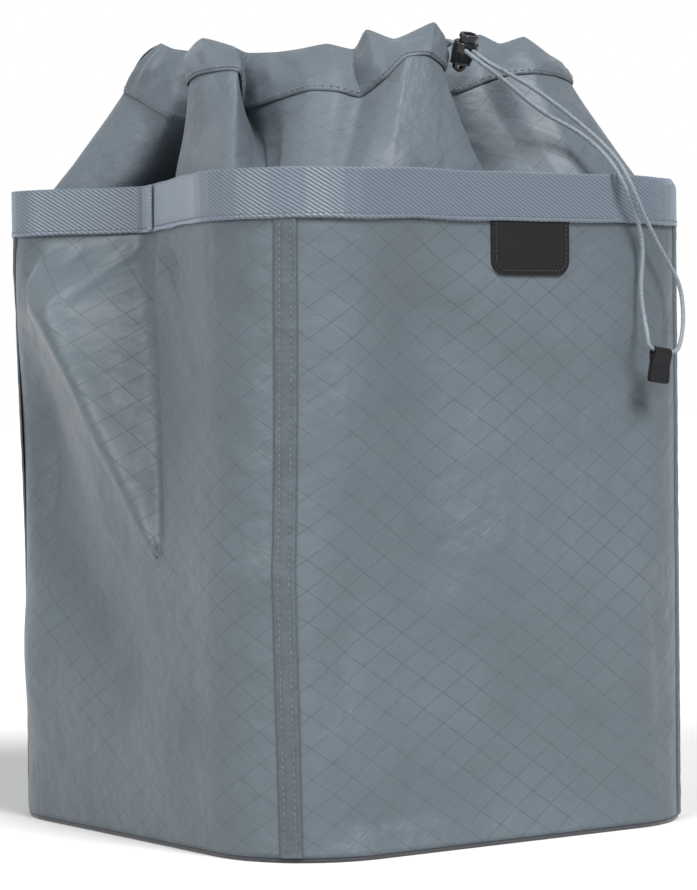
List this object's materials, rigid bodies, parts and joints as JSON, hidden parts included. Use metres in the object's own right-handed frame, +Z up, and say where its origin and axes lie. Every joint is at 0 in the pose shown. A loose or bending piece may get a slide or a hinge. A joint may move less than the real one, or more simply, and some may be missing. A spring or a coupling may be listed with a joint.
{
  "type": "laundry bag",
  "caption": "Square ripstop laundry bag that stands open, with a webbing rim band, a drawstring collar, a cord lock, a pull tab on the cord's free loop and a label patch.",
  "frame": {"origin": "centre of the base, on the floor", "axes": "+Z up; the label patch and the cord lock face -Y; +X is to their right"},
  "size_m": [0.3467, 0.3659, 0.505],
  "materials": {
    "ripstop": "slate grey nylon ripstop with a soft sheen",
    "webbing": "blue-grey twill webbing with a slight sheen",
    "base_cloth": "dark coated cloth",
    "thread": "grey sewing thread",
    "cord": "pale grey braided cord",
    "lock_plastic": "gloss black moulded plastic",
    "spring_steel": "bright spring wire",
    "rubber": "matt charcoal moulded rubber"
  },
  "bodies": {
    "bag": {"base_panel": "base_cloth", "base_binding": "base_cloth", "panel_front": "ripstop", "panel_right": "ripstop", "panel_back": "ripstop", "panel_left": "ripstop", "seam_front_left": "ripstop", "seam_front_right": "ripstop", "seam_back_right": "ripstop", "seam_back_left": "ripstop", "seam_stitching": "thread", "rim_webbing": "webbing", "webbing_lap": "webbing", "rim_facing": "webbing", "rim_stitching": "thread", "collar": "ripstop", "collar_seam": "ripstop", "channel": "ripstop", "channel_stitching": "thread", "drawcord": "cord", "drawcord_loop": "cord", "lock_body": "lock_plastic", "lock_spring": "spring_steel", "label_patch": "rubber", "label_stitching": "thread"},
    "lock_button": {"lock_plunger": "lock_plastic"},
    "tab": {"pull_tab": "rubber"}
  },
  "joints": [
    {"name": "lock_press", "type": "slide", "parent": "bag", "child": "lock_button", "axis": [0, 0.5, -0.866], "range_m": [0, 0.0024], "stiffness_N_per_m": 500, "springref_m": -0.002, "deforming": ["lock_spring"]},
    {"name": "tab_swing", "type": "hinge", "parent": "bag", "child": "tab", "pos_m": [0.109, -0.188, 0.301], "axis": [0.9903, 0, -0.1392], "range_deg": [-110, 35]}
  ]
}
